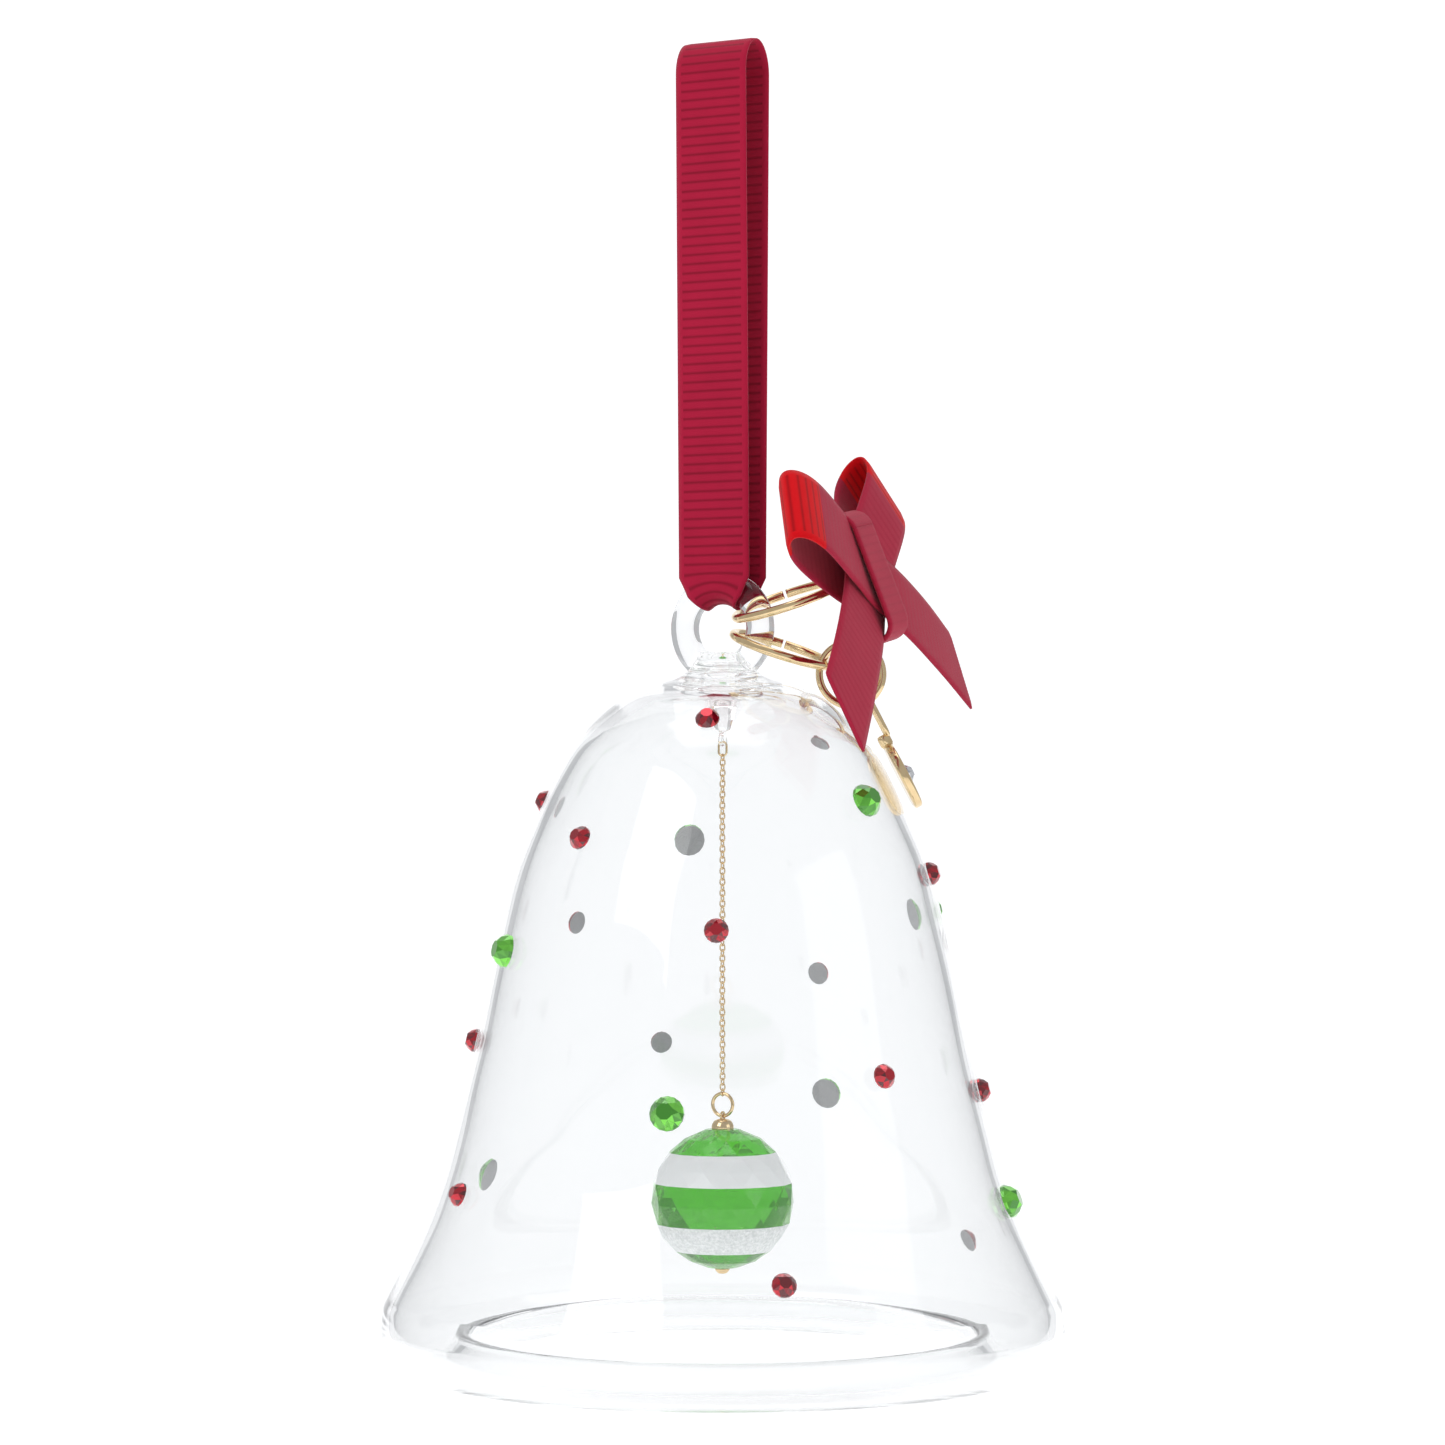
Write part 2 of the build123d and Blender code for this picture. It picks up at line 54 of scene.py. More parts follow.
class Value:
    """A node's output that takes part in arithmetic."""

    def __init__(self, finish, socket):
        self.finish, self.socket = finish, socket

    def _with(self, operation, other, swap=False):
        pair = (other, self) if swap else (self, other)
        return self.finish.node("ShaderNodeMath", {"operation": operation}, dict(enumerate(pair)))

    def __add__(self, other): return self._with("ADD", other)
    def __radd__(self, other): return self._with("ADD", other, True)
    def __sub__(self, other): return self._with("SUBTRACT", other)
    def __rsub__(self, other): return self._with("SUBTRACT", other, True)
    def __mul__(self, other): return self._with("MULTIPLY", other)
    def __rmul__(self, other): return self._with("MULTIPLY", other, True)
    def __truediv__(self, other): return self._with("DIVIDE", other)
    def __pow__(self, other): return self._with("POWER", other)
    def __gt__(self, other): return self._with("GREATER_THAN", other)
    def __lt__(self, other): return self._with("LESS_THAN", other)
    def __abs__(self): return self._with("ABSOLUTE", 0)
    def sine(self): return self._with("SINE", 0)
    def most(self, other): return self._with("MAXIMUM", other)


class Finish:
    """A material and its nodes."""

    def __init__(self, name, **constants):
        self.material = bpy.data.materials.new(name)
        self.material.use_nodes = True
        self.tree = self.material.node_tree
        self.surface = self.tree.nodes["Principled BSDF"]
        for key, value in constants.items():
            self.surface.inputs[key.replace("_", " ").title().replace("Ior", "IOR")].default_value = value

    def node(self, kind, settings=None, inputs=None, output=0):
        made = self.tree.nodes.new(kind)
        for key, value in (settings or {}).items():
            if key == "stops":
                ramp = made.color_ramp
                while len(ramp.elements) < len(value):
                    ramp.elements.new(0.5)
                for element, (place, colour) in zip(ramp.elements, value):
                    element.position, element.color = place, (*colour, 1)
            else:
                setattr(made, key, value)
        for key, value in (inputs or {}).items():
            self.feed(made.inputs[key], value)
        return Value(self, made.outputs[output])

    def feed(self, socket, value):
        if isinstance(value, Value):
            self.tree.links.new(value.socket, socket)
        elif isinstance(value, tuple) and len(value) == 3 and socket.type == "RGBA":
            socket.default_value = (*value, 1)
        else:
            socket.default_value = value

    def wear(self, **inputs):
        for key, value in inputs.items():
            self.feed(self.surface.inputs[key.replace("_", " ").title()], value)

    def place(self):
        return self.node("ShaderNodeTexCoord", output="Object")

    def parts_of(self, vector):
        split = self.node("ShaderNodeSeparateXYZ", inputs={0: vector})
        return [Value(self, split.socket.node.outputs[n]) for n in range(3)]

    def cloudy(self, scale, detail=3.0, where=None):
        return self.node("ShaderNodeTexNoise", inputs={
            "Vector": where or self.place(), "Scale": scale, "Detail": detail})

    def mixed(self, share, first, second):
        return self.node("ShaderNodeMix", {"data_type": "RGBA"},
                         {"Factor": share, "A": first, "B": second}, output="Result")

    def bumped(self, height, strength, distance):
        return self.node("ShaderNodeBump", inputs={
            "Height": height, "Strength": strength, "Distance": distance})


def clear_glass():
    finish = Finish("clear_glass", transmission_weight=1.0, ior=1.5, base_color=(0.955, 0.96, 0.96, 1))
    ripple = finish.cloudy(55, 1.0)
    finish.wear(roughness=finish.cloudy(400, 2.0) * 0.012, normal=finish.bumped(ripple, 0.25, 0.0006))
    return finish.material


def pale_gold():
    finish = Finish("pale_gold")
    tarnish, scratch = finish.cloudy(900, 4.0), finish.cloudy(6000, 2.0)
    finish.wear(
        metallic=0.98 + tarnish * 0.02,
        base_color=finish.mixed(tarnish, (0.74, 0.53, 0.27), (0.90, 0.72, 0.45)),
        roughness=0.08 + scratch * 0.12,
        normal=finish.bumped(scratch, 0.04, 0.00002),
    )
    return finish.material


def grosgrain(name, deep, bright, painted_groove_shade=0.62):
    """Ribbed ribbon with painted shade: its colour is darker in the grooves between ribs, but not at the plain edges.
    The map's x runs across the ribbon and its y along it, in ribs.
    """
    finish = Finish(name, sheen_weight=0.12, sheen_roughness=0.45, specular_ior_level=0.15)
    across, along, _ = finish.parts_of(finish.node("ShaderNodeUVMap", {"uv_map": "weave"}, output="UV"))
    rib = 1 - (((along * (2 * pi)).sine() + 1) * 0.5) ** 4
    thread = ((across * 420 + (along * 3).sine() * 0.4).sine() + 1) * 0.5
    edge = abs(across - 0.5) > 0.42
    shade = finish.cloudy(220, 3.0)
    plain = edge * (1 - rib)
    # painted shade in the rib grooves; the cloudy mottle and the threads are the ribbon's own tone
    tone = 0.62 - painted_groove_shade + (rib + plain) * painted_groove_shade + shade * 0.28 + thread * 0.1
    finish.wear(
        base_color=finish.mixed(tone, deep, bright),
        roughness=0.62 + thread * 0.2,
        normal=finish.bumped(thread * 0.6 + finish.cloudy(9000, 2.0) * 0.4, 0.4, 0.00005),
    )
    return finish.material


def cut_crystal(name, dark, light):
    """A foil-backed stone: each facet gets its own painted brightness, painted glints and painted shade that stand in
    for the light the facets return.
    """
    finish = Finish(name, specular_ior_level=0.8, coat_roughness=0.02)
    facing = finish.node("ShaderNodeVectorMath", {"operation": "DOT_PRODUCT"}, {
        0: finish.node("ShaderNodeNewGeometry", output="True Normal"), 1: (11.3, 17.7, 23.1)}, output="Value")
    # painted glint: a brightness for each facet, from the way it faces, painted into colour, metal and coat
    painted_facet_glint = (facing.sine() + 1) * 0.5
    finish.wear(
        base_color=finish.mixed(painted_facet_glint, dark, light),
        metallic=0.35 + painted_facet_glint * 0.5,
        roughness=0.05 + finish.cloudy(2500) * 0.06,
        coat_weight=0.9 + painted_facet_glint * 0.1,
    )
    return finish.material


def silver_foil():
    finish = Finish("silver_foil")
    crinkle = finish.cloudy(3500, 4.0)
    finish.wear(
        metallic=0.7 + crinkle * 0.2,
        base_color=finish.mixed(crinkle, (0.32, 0.32, 0.33), (0.6, 0.6, 0.61)),
        roughness=0.35 + crinkle * 0.2,
        normal=finish.bumped(crinkle, 0.3, 0.00004),
    )
    return finish.material


def banded_ball():
    """Green cut glass with a smooth white band above and a frosted one below; both bands carry a faint painted glow."""
    finish = Finish("banded_ball", transmission_weight=1.0, ior=1.52, base_color=(0.07, 0.45, 0.018, 1))
    _, _, height = finish.parts_of(finish.place())
    height = height * 1000 - BALL_HEIGHT
    upper = (height > 2.1) * (height < 5.9)
    lower = (height > -6.6) * (height < -3.1)
    glitter = finish.cloudy(2600, 2.0) ** 2 * 2
    finish.wear(roughness=finish.cloudy(900) * 0.03)
    white = finish.node("ShaderNodeBsdfPrincipled", {}, {
        "Base Color": finish.mixed(lower * (1 - glitter), (0.93, 0.94, 0.94), (0.52, 0.55, 0.54)),
        "Roughness": 0.12 + lower * 0.3,
        # painted glow: the white bands emit a little light so that they look brighter
        "Emission Color": (0.9, 0.95, 0.94, 1),
        "Emission Strength": 0.22,
        "Normal": finish.bumped(glitter * lower, 0.6, 0.0002),
    })
    painted = finish.node("ShaderNodeMixShader", inputs={
        0: upper + lower, 1: Value(finish, finish.surface.outputs[0]), 2: white})
    finish.feed(finish.tree.nodes["Material Output"].inputs["Surface"], painted)
    return finish.material


BALL_HEIGHT, BALL_RADIUS = -146.2, 9.0
GLASS, GOLD = clear_glass(), pale_gold()
RED_RIBBON = grosgrain("red_grosgrain", (0.21, 0.003, 0.018), (0.50, 0.010, 0.050))
FINE_RIBBON = grosgrain("fine_grosgrain", (0.24, 0.006, 0.026), (0.48, 0.018, 0.055), painted_groove_shade=0.14)
# a brighter copy of the ribbon: painted glow where light shines through the bow's loops
GLOW_PAINTED_RIBBON = grosgrain("painted_glow_grosgrain", (0.34, 0.0, 0.004), (0.80, 0.001, 0.006))
RED_STONE = cut_crystal("red_crystal", (0.10, 0.0, 0.004), (0.60, 0.004, 0.022))
GREEN_STONE = cut_crystal("green_crystal", (0.03, 0.26, 0.0), (0.22, 0.80, 0.07))
CLEAR_STONE = cut_crystal("clear_crystal", (0.45, 0.47, 0.5), (0.98, 0.98, 1.0))
FOIL, BALL = silver_foil(), banded_ball()


# ---------------------------------------------------------------- making pieces

def piece(name, points, faces, materials, body, nodes=(), slot=None, smooth=True, face_slots=None, weave=None):
    """A mesh of millimetre points, on a body, in the place of the CAD nodes it stands for."""
    mesh = bpy.data.meshes.new(name)
    mesh.from_pydata([Vector(p) * MM for p in points], [], faces)
    for material in materials:
        mesh.materials.append(material)
    if face_slots:
        mesh.polygons.foreach_set("material_index", face_slots)
    mesh.polygons.foreach_set("use_smooth", [smooth] * len(mesh.polygons))
    if weave:
        layer = mesh.uv_layers.new(name="weave")
        for loop in mesh.loops:
            layer.data[loop.index].uv = weave[loop.vertex_index]
    mesh.validate()
    bm = bmesh.new()
    bm.from_mesh(mesh)
    bmesh.ops.recalc_face_normals(bm, faces=bm.faces)
    bm.to_mesh(mesh)
    bm.free()
    made = bpy.data.objects.new(name, mesh)
    bpy.context.scene.collection.objects.link(made)
    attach(made, body)
    if nodes:
        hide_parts(*nodes)
    return made


def smooth_through(points, steps):
    """Points along a Catmull-Rom curve through the given ones."""
    points = [Vector(p) for p in points]
    padded = [2 * points[0] - points[1], *points, 2 * points[-1] - points[-2]]
    out = []
    for a, b, c, d in zip(padded, padded[1:], padded[2:], padded[3:]):
        for n in range(steps):
            t = n / steps
            out.append(0.5 * (2 * b + (c - a) * t + (2 * a - 5 * b + 4 * c - d) * t ** 2
                              + (3 * b - a - 3 * c + d) * t ** 3))
    return out + [points[-1]]


def tube(path, radius, closed=True, sides=16):
    """Points and faces of round wire along a path, with a radius or one for each point."""
    count = len(path)
    radii = radius if isinstance(radius, list) else [radius] * count
    path = [Vector(p) for p in path]
    points, faces = [], []
    first = (path[1] - path[0]).normalized()
    side = first.orthogonal().normalized()
    for n, centre in enumerate(path):
        before = path[n - 1] if closed or n else path[n]
        after = path[(n + 1) % count] if closed or n < count - 1 else path[n]
        run = (after - before).normalized()
        side = (side - run * side.dot(run)).normalized()
        other = run.cross(side)
        for k in range(sides):
            turn = 2 * pi * k / sides
            points.append(centre + (side * cos(turn) + other * sin(turn)) * radii[n])
    for n in range(count if closed else count - 1):
        m = (n + 1) % count
        for k in range(sides):
            j = (k + 1) % sides
            faces.append((n * sides + k, n * sides + j, m * sides + j, m * sides + k))
    if not closed:
        faces.append(tuple(range(sides))[::-1])
        faces.append(tuple(range((count - 1) * sides, count * sides)))
    return points, faces


def joined(shapes):
    """Several meshes' points and faces as one."""
    points, faces = [], []
    for more, theirs in shapes:
        start = len(points)
        points += list(more)
        faces += [tuple(start + i for i in face) for face in theirs]
    return points, faces


def lathed(profile, sides=192, place=Matrix()):
    """A closed shape turned about Z from (radius, height) points whose ends are on the axis."""
    points = [place @ Vector((0, 0, profile[0][1]))]
    for radius, height in profile[1:-1]:
        points += [place @ Vector((radius * cos(2 * pi * k / sides), radius * sin(2 * pi * k / sides), height))
                   for k in range(sides)]
    points.append(place @ Vector((0, 0, profile[-1][1])))
    rows = len(profile) - 2
    faces = []
    for k in range(sides):
        j = (k + 1) % sides
        faces.append((0, 1 + j, 1 + k))
        for row in range(rows - 1):
            a, b = 1 + row * sides, 1 + (row + 1) * sides
            faces.append((a + k, a + j, b + j, b + k))
        last = 1 + (rows - 1) * sides
        faces.append((last + k, last + j, len(points) - 1))
    return points, faces


def circle(centre, along, across, radius, count=96, start=0.0, sweep=2 * pi):
    closed = abs(sweep - 2 * pi) < 1e-6
    steps = count if closed else count - 1
    return [centre + (along * cos(start + sweep * k / steps) + across * sin(start + sweep * k / steps)) * radius
            for k in range(count)]


def oval(centre, wide, tall, half_width, half_length, count=20):
    """A stadium's line: straight sides and round ends."""
    straight = half_length - half_width
    ends = []
    for sign in (1, -1):
        for k in range(count):
            turn = pi * k / (count - 1) + (0 if sign == 1 else pi)
            ends.append(centre + wide * (half_width * cos(turn)) + tall * (half_width * sin(turn) + sign * straight))
    return ends


# ---------------------------------------------------------------- glass

def bell_profile():
    outer = smooth_through([(r, z, 0) for r, z in (
        (2.9, -77.2), (3.7, -78.6), (4.9, -79.9), (6.8, -80.75), (10.1, -81.5), (13.1, -83.2), (17.1, -86.9),
        (19.9, -90.7), (23.6, -98.3), (26.5, -105.8), (29.1, -117.2), (31.1, -126.6), (34.0, -138.0),
        (35.7, -144.0), (38.6, -151.2), (42.5, -159.0))], 10)
    inner = smooth_through([(r, z, 0) for r, z in (
        (40.7, -159.4), (37.0, -151.9), (34.1, -144.5), (32.4, -138.4), (29.6, -126.9), (27.6, -117.5),
        (25.0, -106.2), (22.2, -98.9), (18.6, -91.5), (16.0, -88.0), (12.2, -84.8), (9.4, -83.3),
        (5.0, -82.6))], 10)
    centre, turn_out, turn_in = (37.3, -161.7), 5.7, 3.8
    lip = radians(160)
    roll_out = [(centre[0] + turn_out * cos(a), centre[1] - turn_out * sin(a))
                for a in (lip * n / 40 for n in range(41))]
    mid, half = (turn_out + turn_in) / 2, (turn_out - turn_in) / 2
    tip = (centre[0] + mid * cos(lip), centre[1] - mid * sin(lip))
    rounded = [(tip[0] + half * cos(a), tip[1] - half * sin(a)) for a in (lip + pi * n / 10 for n in range(1, 10))]
    roll_in = [(centre[0] + turn_in * cos(a), centre[1] - turn_in * sin(a))
               for a in (lip * (1 - n / 40) for n in range(41))]
    return ([(0, -77.2), (1.5, -77.2)] + [(p.x, p.y) for p in outer] + roll_out + rounded + roll_in
            + [(p.x, p.y) for p in inner] + [(2.5, -82.52), (0, -82.5)])


def anchor_peg():
    """The drop of glass inside the top, with an eye at its end."""
    profile = [(0, -81.6), (2.1, -81.6), (1.95, -82.8), (1.5, -84.2), (1.15, -85.6), (0.95, -86.6)]
    rows = smooth_through([(r, z, 0) for r, z in profile[1:]], 6)
    stem = lathed([(0, -81.6)] + [(p.x, p.y) for p in rows] + [(0.5, -86.9), (0, -86.95)], 32)
    eye = tube(circle(Vector((0, 0, -87.85)), Vector((0, 1, 0)), UP, 0.66, 32), 0.27, sides=12)
    neck = tube([(0, 0, -86.7), (0, 0, -87.1)], 0.45, closed=False)
    return joined([stem]), eye, neck


def fuse(base, *others):
    """One skin round several closed pieces that touch."""
    for other in others:
        cut = base.modifiers.new("fuse", "BOOLEAN")
        cut.operation, cut.solver, cut.object = "UNION", "EXACT", other
        bpy.context.view_layer.objects.active = base
        with bpy.context.temp_override(object=base, active_object=base, selected_objects=[base]):
            bpy.ops.object.modifier_apply(modifier=cut.name)
        bpy.data.objects.remove(other, do_unlink=True)


def loose(name, shape):
    mesh = bpy.data.meshes.new(name)
    mesh.from_pydata([Vector(p) * MM for p in shape[0]], [], shape[1])
    mesh.materials.append(GLASS)
    mesh.polygons.foreach_set("use_smooth", [True] * len(mesh.polygons))
    bm = bmesh.new()
    bm.from_mesh(mesh)
    bmesh.ops.recalc_face_normals(bm, faces=bm.faces)
    bm.to_mesh(mesh)
    bm.free()
    made = bpy.data.objects.new(name, mesh)
    bpy.context.scene.collection.objects.link(made)
    return made


def blow_glass():
    points, faces = lathed(bell_profile())
    bell = piece("blown_glass", points, faces, [GLASS], "bell",
                 ("bell_glass", "hanging_ring", "chain_anchor"), "clear_glass")
    ring = loose("ring", tube(circle(Vector((0, 0, RING_HEIGHT)), Vector((1, 0, 0)), UP, RING_RADIUS, 128),
                              RING_WIRE, sides=40))
    stem, eye, neck = anchor_peg()
    fuse(bell, ring, loose("stem", stem), loose("neck", neck), loose("eye", eye))
    for polygon in bell.data.polygons:
        polygon.use_smooth = True
    return bell


# ---------------------------------------------------------------- crystals

RED_CRYSTALS = [
    (-68, -86.0), (-106, -100.5), (-63, -111.5), (-24, -129.0), (-51, -152.5), (18, -105.0),
    (20, -132.0), (-149, -126.0), (-125, -144.0), (-160, -96.0), (60, -153.0), (67, -87.0),
    (164, -111.5), (92, -118.5), (134, -128.0),
]
GREEN_CRYSTALS = [
    (-73, -133.0), (-11, -96.0), (-130, -114.5), (14, -145.5), (-178, -144.0), (47, -110.0),
    (129, -101.0), (93, -135.0),
]


def stone(diameter, rise):
    """A brilliant's crown on a girdle: table, stars, kites and a flat foil back. Z is out of the glass."""
    half, girdle = diameter / 2, diameter * 0.1
    rings = [(16, half, 0.0, 0), (16, half, girdle, 0), (8, half * 0.78, girdle + (rise - girdle) * 0.55, 0),
             (8, half * 0.5, rise, 0.5)]
    points, starts = [], []
    for count, radius, height, shift in rings:
        starts.append(len(points))
        points += [Vector((radius * cos(2 * pi * (k + shift) / count), radius * sin(2 * pi * (k + shift) / count),
                           height)) for k in range(count)]
    base, belt, kite, table = starts
    faces = [tuple(base + k for k in range(16))[::-1]]
    for k in range(16):
        j = (k + 1) % 16
        faces.append((base + k, base + j, belt + j, belt + k))
    for k in range(8):
        j, left = (k + 1) % 8, (2 * k + 1) % 16
        faces.append((belt + 2 * k, belt + left, kite + k))
        faces.append((belt + left, belt + (2 * k + 2) % 16, kite + j))
        faces.append((belt + left, kite + j, table + k, kite + k))
        faces.append((kite + k, table + k, table + (k - 1) % 8))
    faces.append(tuple(table + k for k in range(8)))
    return points, faces


def set_stone(name, material, diameter, place, body, slot, rise_share=0.42):
    points, faces = stone(diameter, diameter * rise_share)
    return piece(name + "_cut", [place @ p for p in points], faces, [material, FOIL], body, (name,), slot,
                 smooth=False, face_slots=[1] + [0] * (len(faces) - 1))


def wall_place(angle, height, profile):
    """Where a stone sits on the wall: its own axes, standing out of the glass."""
    for (r0, z0), (r1, z1) in zip(profile, profile[1:]):
        if z0 >= height > z1:
            share = (z0 - height) / (z0 - z1)
            radius = r0 + (r1 - r0) * share
            out = Vector((z0 - z1, 0, r1 - r0)).normalized()
            break
    seat = Vector((radius, 0, height)) + out * 0.03
    side = Vector((0, 1, 0))
    local = Matrix((side, out.cross(side), out)).transposed().to_4x4()
    local.translation = seat
    return Matrix.Rotation(radians(angle), 4, "Z") @ local


def glue_crystals():
    profile = bell_profile()[:200]
    for colour, material, diameter, places in (
            ("red", RED_STONE, 3.0, RED_CRYSTALS), ("green", GREEN_STONE, 4.2, GREEN_CRYSTALS)):
        for number, (angle, height) in enumerate(places, 1):
            set_stone(f"{colour}_crystal_{number:02d}", material, diameter,
                      wall_place(angle, height, profile), "bell", colour + "_crystal")


# ---------------------------------------------------------------- ribbons

def strip(name, rows, half_thickness, body, nodes, slot, cloth=RED_RIBBON, lit=(1, 1)):
    """Ribbed ribbon from rows: each a list of points across it. Ribs stand on both faces.
    Between the two shares of its length in lit, the brighter lit cloth is painted on: a painted glow of light shining
    through the ribbon."""
    out, weave, faces = [], [], []
    depth_of_ribs = RIB_DEPTH if cloth is RED_RIBBON else 0.3 * RIB_DEPTH
    count = len(rows)
    across = len(rows[0])
    run = 0.0
    for n, row in enumerate(rows):
        before, after = rows[max(n - 1, 0)], rows[min(n + 1, count - 1)]
        middle = across // 2
        run += (row[middle] - before[middle]).length
        rib = 0.5 + 0.5 * cos(2 * pi * run / RIB_PITCH)
        for side in (1, -1):
            for k, point in enumerate(row):
                along = after[k] - before[k]
                cross = row[min(k + 1, across - 1)] - row[max(k - 1, 0)]
                out_of = along.cross(cross).normalized()
                u = k / (across - 1)
                selvedge = abs(u - 0.5) > 0.42
                depth = half_thickness - depth_of_ribs * (0.1 if selvedge else rib)
                if k in (0, across - 1):
                    depth *= 0.55
                out.append(point + out_of * (side * depth))
                weave.append((u, run / RIB_PITCH))
    wide = 2 * across
    glowing = []
    for n in range(count - 1):
        a, b = n * wide, (n + 1) * wide
        glowing += [lit[0] < n / count < lit[1]] * (2 * across)
        for k in range(across - 1):
            faces.append((a + k, a + k + 1, b + k + 1, b + k))
            faces.append((a + across + k, b + across + k, b + across + k + 1, a + across + k + 1))
        faces.append((a, b, b + across, a + across))
        faces.append((a + across - 1, a + 2 * across - 1, b + 2 * across - 1, b + across - 1))
    for start in (0, (count - 1) * wide):
        for k in range(across - 1):
            faces.append((start + k, start + across + k, start + across + k + 1, start + k + 1))
    made = piece(name, out, faces, [cloth, GLOW_PAINTED_RIBBON], body, nodes, slot, weave=weave)
    for n, glows in enumerate(glowing):
        made.data.polygons[n].material_index = int(glows)
    return made


def evenly(points, step):
    """The same line, with points at even steps."""
    reach = [0.0]
    for a, b in zip(points, points[1:]):
        reach.append(reach[-1] + (b - a).length)
    count = int(reach[-1] / step)
    out, n = [], 0
    for k in range(count + 1):
        goal = reach[-1] * k / count
        while n < len(reach) - 2 and reach[n + 1] < goal:
            n += 1
        share = (goal - reach[n]) / max(reach[n + 1] - reach[n], 1e-9)
        out.append(points[n].lerp(points[n + 1], share))
    return out, reach[-1]


def hang_ribbon():
    """The loop: up the back, over the hook's place, down the front and under the glass ring."""
    bend, top_half, shoulder, tube_height = 2.225, 3.1, -4.0, RING_HEIGHT + RING_RADIUS
    spread = radians(44)
    line = [Vector((0, y, z)) for y, z in ((bend, tube_height), (top_half, shoulder))]
    arch = [Vector((0, top_half * cos(a), shoulder + 4.175 * sin(a))) for a in (pi * n / 40 for n in range(1, 41))]
    down = [Vector((0, -bend, tube_height))]
    under = [Vector((pi * n / 24, 0, 0)) for n in range(25)]
    loop, length = evenly(line + arch + down, RIB_PITCH / 6)
    rows, columns = [], 15
    for spot in loop:
        droop = max(0.0, 1 - (spot.z - tube_height) / 2.6) ** 2
        squeeze = max(0.0, 1 - (spot.z - tube_height) / 1.3)
        row = []
        for k in range(columns):
            u = 2 * k / (columns - 1) - 1
            turn = spread * u
            side = RIBBON_HALF * u * (1 - squeeze) + RING_RADIUS * sin(turn) * squeeze
            row.append(Vector((side, spot.y, spot.z - RING_RADIUS * (1 - cos(turn)) * droop)))
        rows.append(row)
    arc, _ = evenly([Vector((0, -bend * cos(a.x), -bend * sin(a.x))) for a in under], RIB_PITCH / 6)
    for spot in arc[1:-1]:
        radius = RING_RADIUS + spot.z
        rows.append([
            Vector((radius * sin(spread * u), spot.y, RING_HEIGHT + radius * cos(spread * u)))
            for u in (2 * k / (columns - 1) - 1 for k in range(columns))
        ])
    rows.append(rows[0])
    made = strip("ribbon_loop", rows, RIBBON_THICKNESS / 2, "ribbon", ("hanging_ribbon",), "red_ribbon")
    (length + pi * bend) * MM
    return made


BOW_CENTRE, BOW_FACING, BOW_TILT, BOW_ROLL = Vector((16.6, 6.7, -67.8)), 5.0, 19.0, 8.6
STRIP_ANGLE, LOOP_LENGTH, LOOP_BEND, TAIL_LENGTH, TAIL_SLANT = 56.0, 20.0, 1.6, 27.0, 2.0


def bow_axes():
    facing = Vector((cos(radians(BOW_FACING)), sin(radians(BOW_FACING)), 0))
    side = UP.cross(facing)
    front = facing * cos(radians(BOW_TILT)) + UP * sin(radians(BOW_TILT))
    up = front.cross(side)
    wide = side * cos(radians(BOW_ROLL)) + up * sin(radians(BOW_ROLL))
    return wide, front.cross(wide), front


def tie_bow():
    wide, up, front = bow_axes()
    columns = 13
    for side, layer, name in ((-1, 1.05, "bow_over"), (1, 0.4, "bow_under")):
        run = wide * (side * sin(radians(STRIP_ANGLE))) + up * cos(radians(STRIP_ANGLE))
        cross = wide * cos(radians(STRIP_ANGLE)) - up * (side * sin(radians(STRIP_ANGLE)))
        bend = LOOP_LENGTH - LOOP_BEND
        stations = [(-TAIL_LENGTH, layer - 1.0), (-18, layer - 0.2), (-9, layer + 0.2), (0, layer), (6, layer + 0.5),
                    (bend - 4, LOOP_BEND + 0.5), (bend, LOOP_BEND - 0.1), (LOOP_LENGTH - 0.3, 0),
                    (bend - 0.6, -LOOP_BEND - 0.1), (bend - 5, -LOOP_BEND - 0.9), (6, -layer - 1.1), (-2, -layer)]
        line = smooth_through([(d, n, 0) for d, n in stations], 8)
        line, length = evenly(line, RIB_PITCH / 6)
        rows = []
        for spot in line:
            tail = max(0.0, (-spot.x - TAIL_LENGTH + 12) / 12)
            row = []
            for k in range(columns):
                u = 2 * k / (columns - 1) - 1
                slant = -TAIL_SLANT * u * side * tail
                row.append(BOW_CENTRE + run * (spot.x + slant) + cross * (5.0 * u) + front * spot.y)
            rows.append(row)
        made = strip(name, rows, 0.27, "bow", ("bow_strip",) if side == -1 else (), "red_ribbon", cloth=FINE_RIBBON, lit=(0.60, 0.73))
        length * MM


WRAP_HALF_HEIGHT, WRAP_HALF_DEPTH, WRAP_HALF_WIDTH, WRAP_FOLD = 8.3, 2.25, 3.3, 0.2


def folded_edges():
    """Across the band, from one cut edge to the other: place across, and height over the fold.
    The face is flat, and both edges turn under it until the whole width of the ribbon is used."""
    turn_at = WRAP_HALF_WIDTH - WRAP_FOLD
    under = RIBBON_HALF - turn_at - pi * WRAP_FOLD
    half = [(turn_at * n / 5, WRAP_FOLD) for n in range(1, 6)]
    half += [(turn_at + WRAP_FOLD * sin(a), WRAP_FOLD * cos(a)) for a in (pi * n / 8 for n in range(1, 9))]
    half += [(turn_at - under * n / 3, -WRAP_FOLD) for n in range(1, 4)]
    return [(-across, rise) for across, rise in reversed(half)] + [(0, WRAP_FOLD)] + half


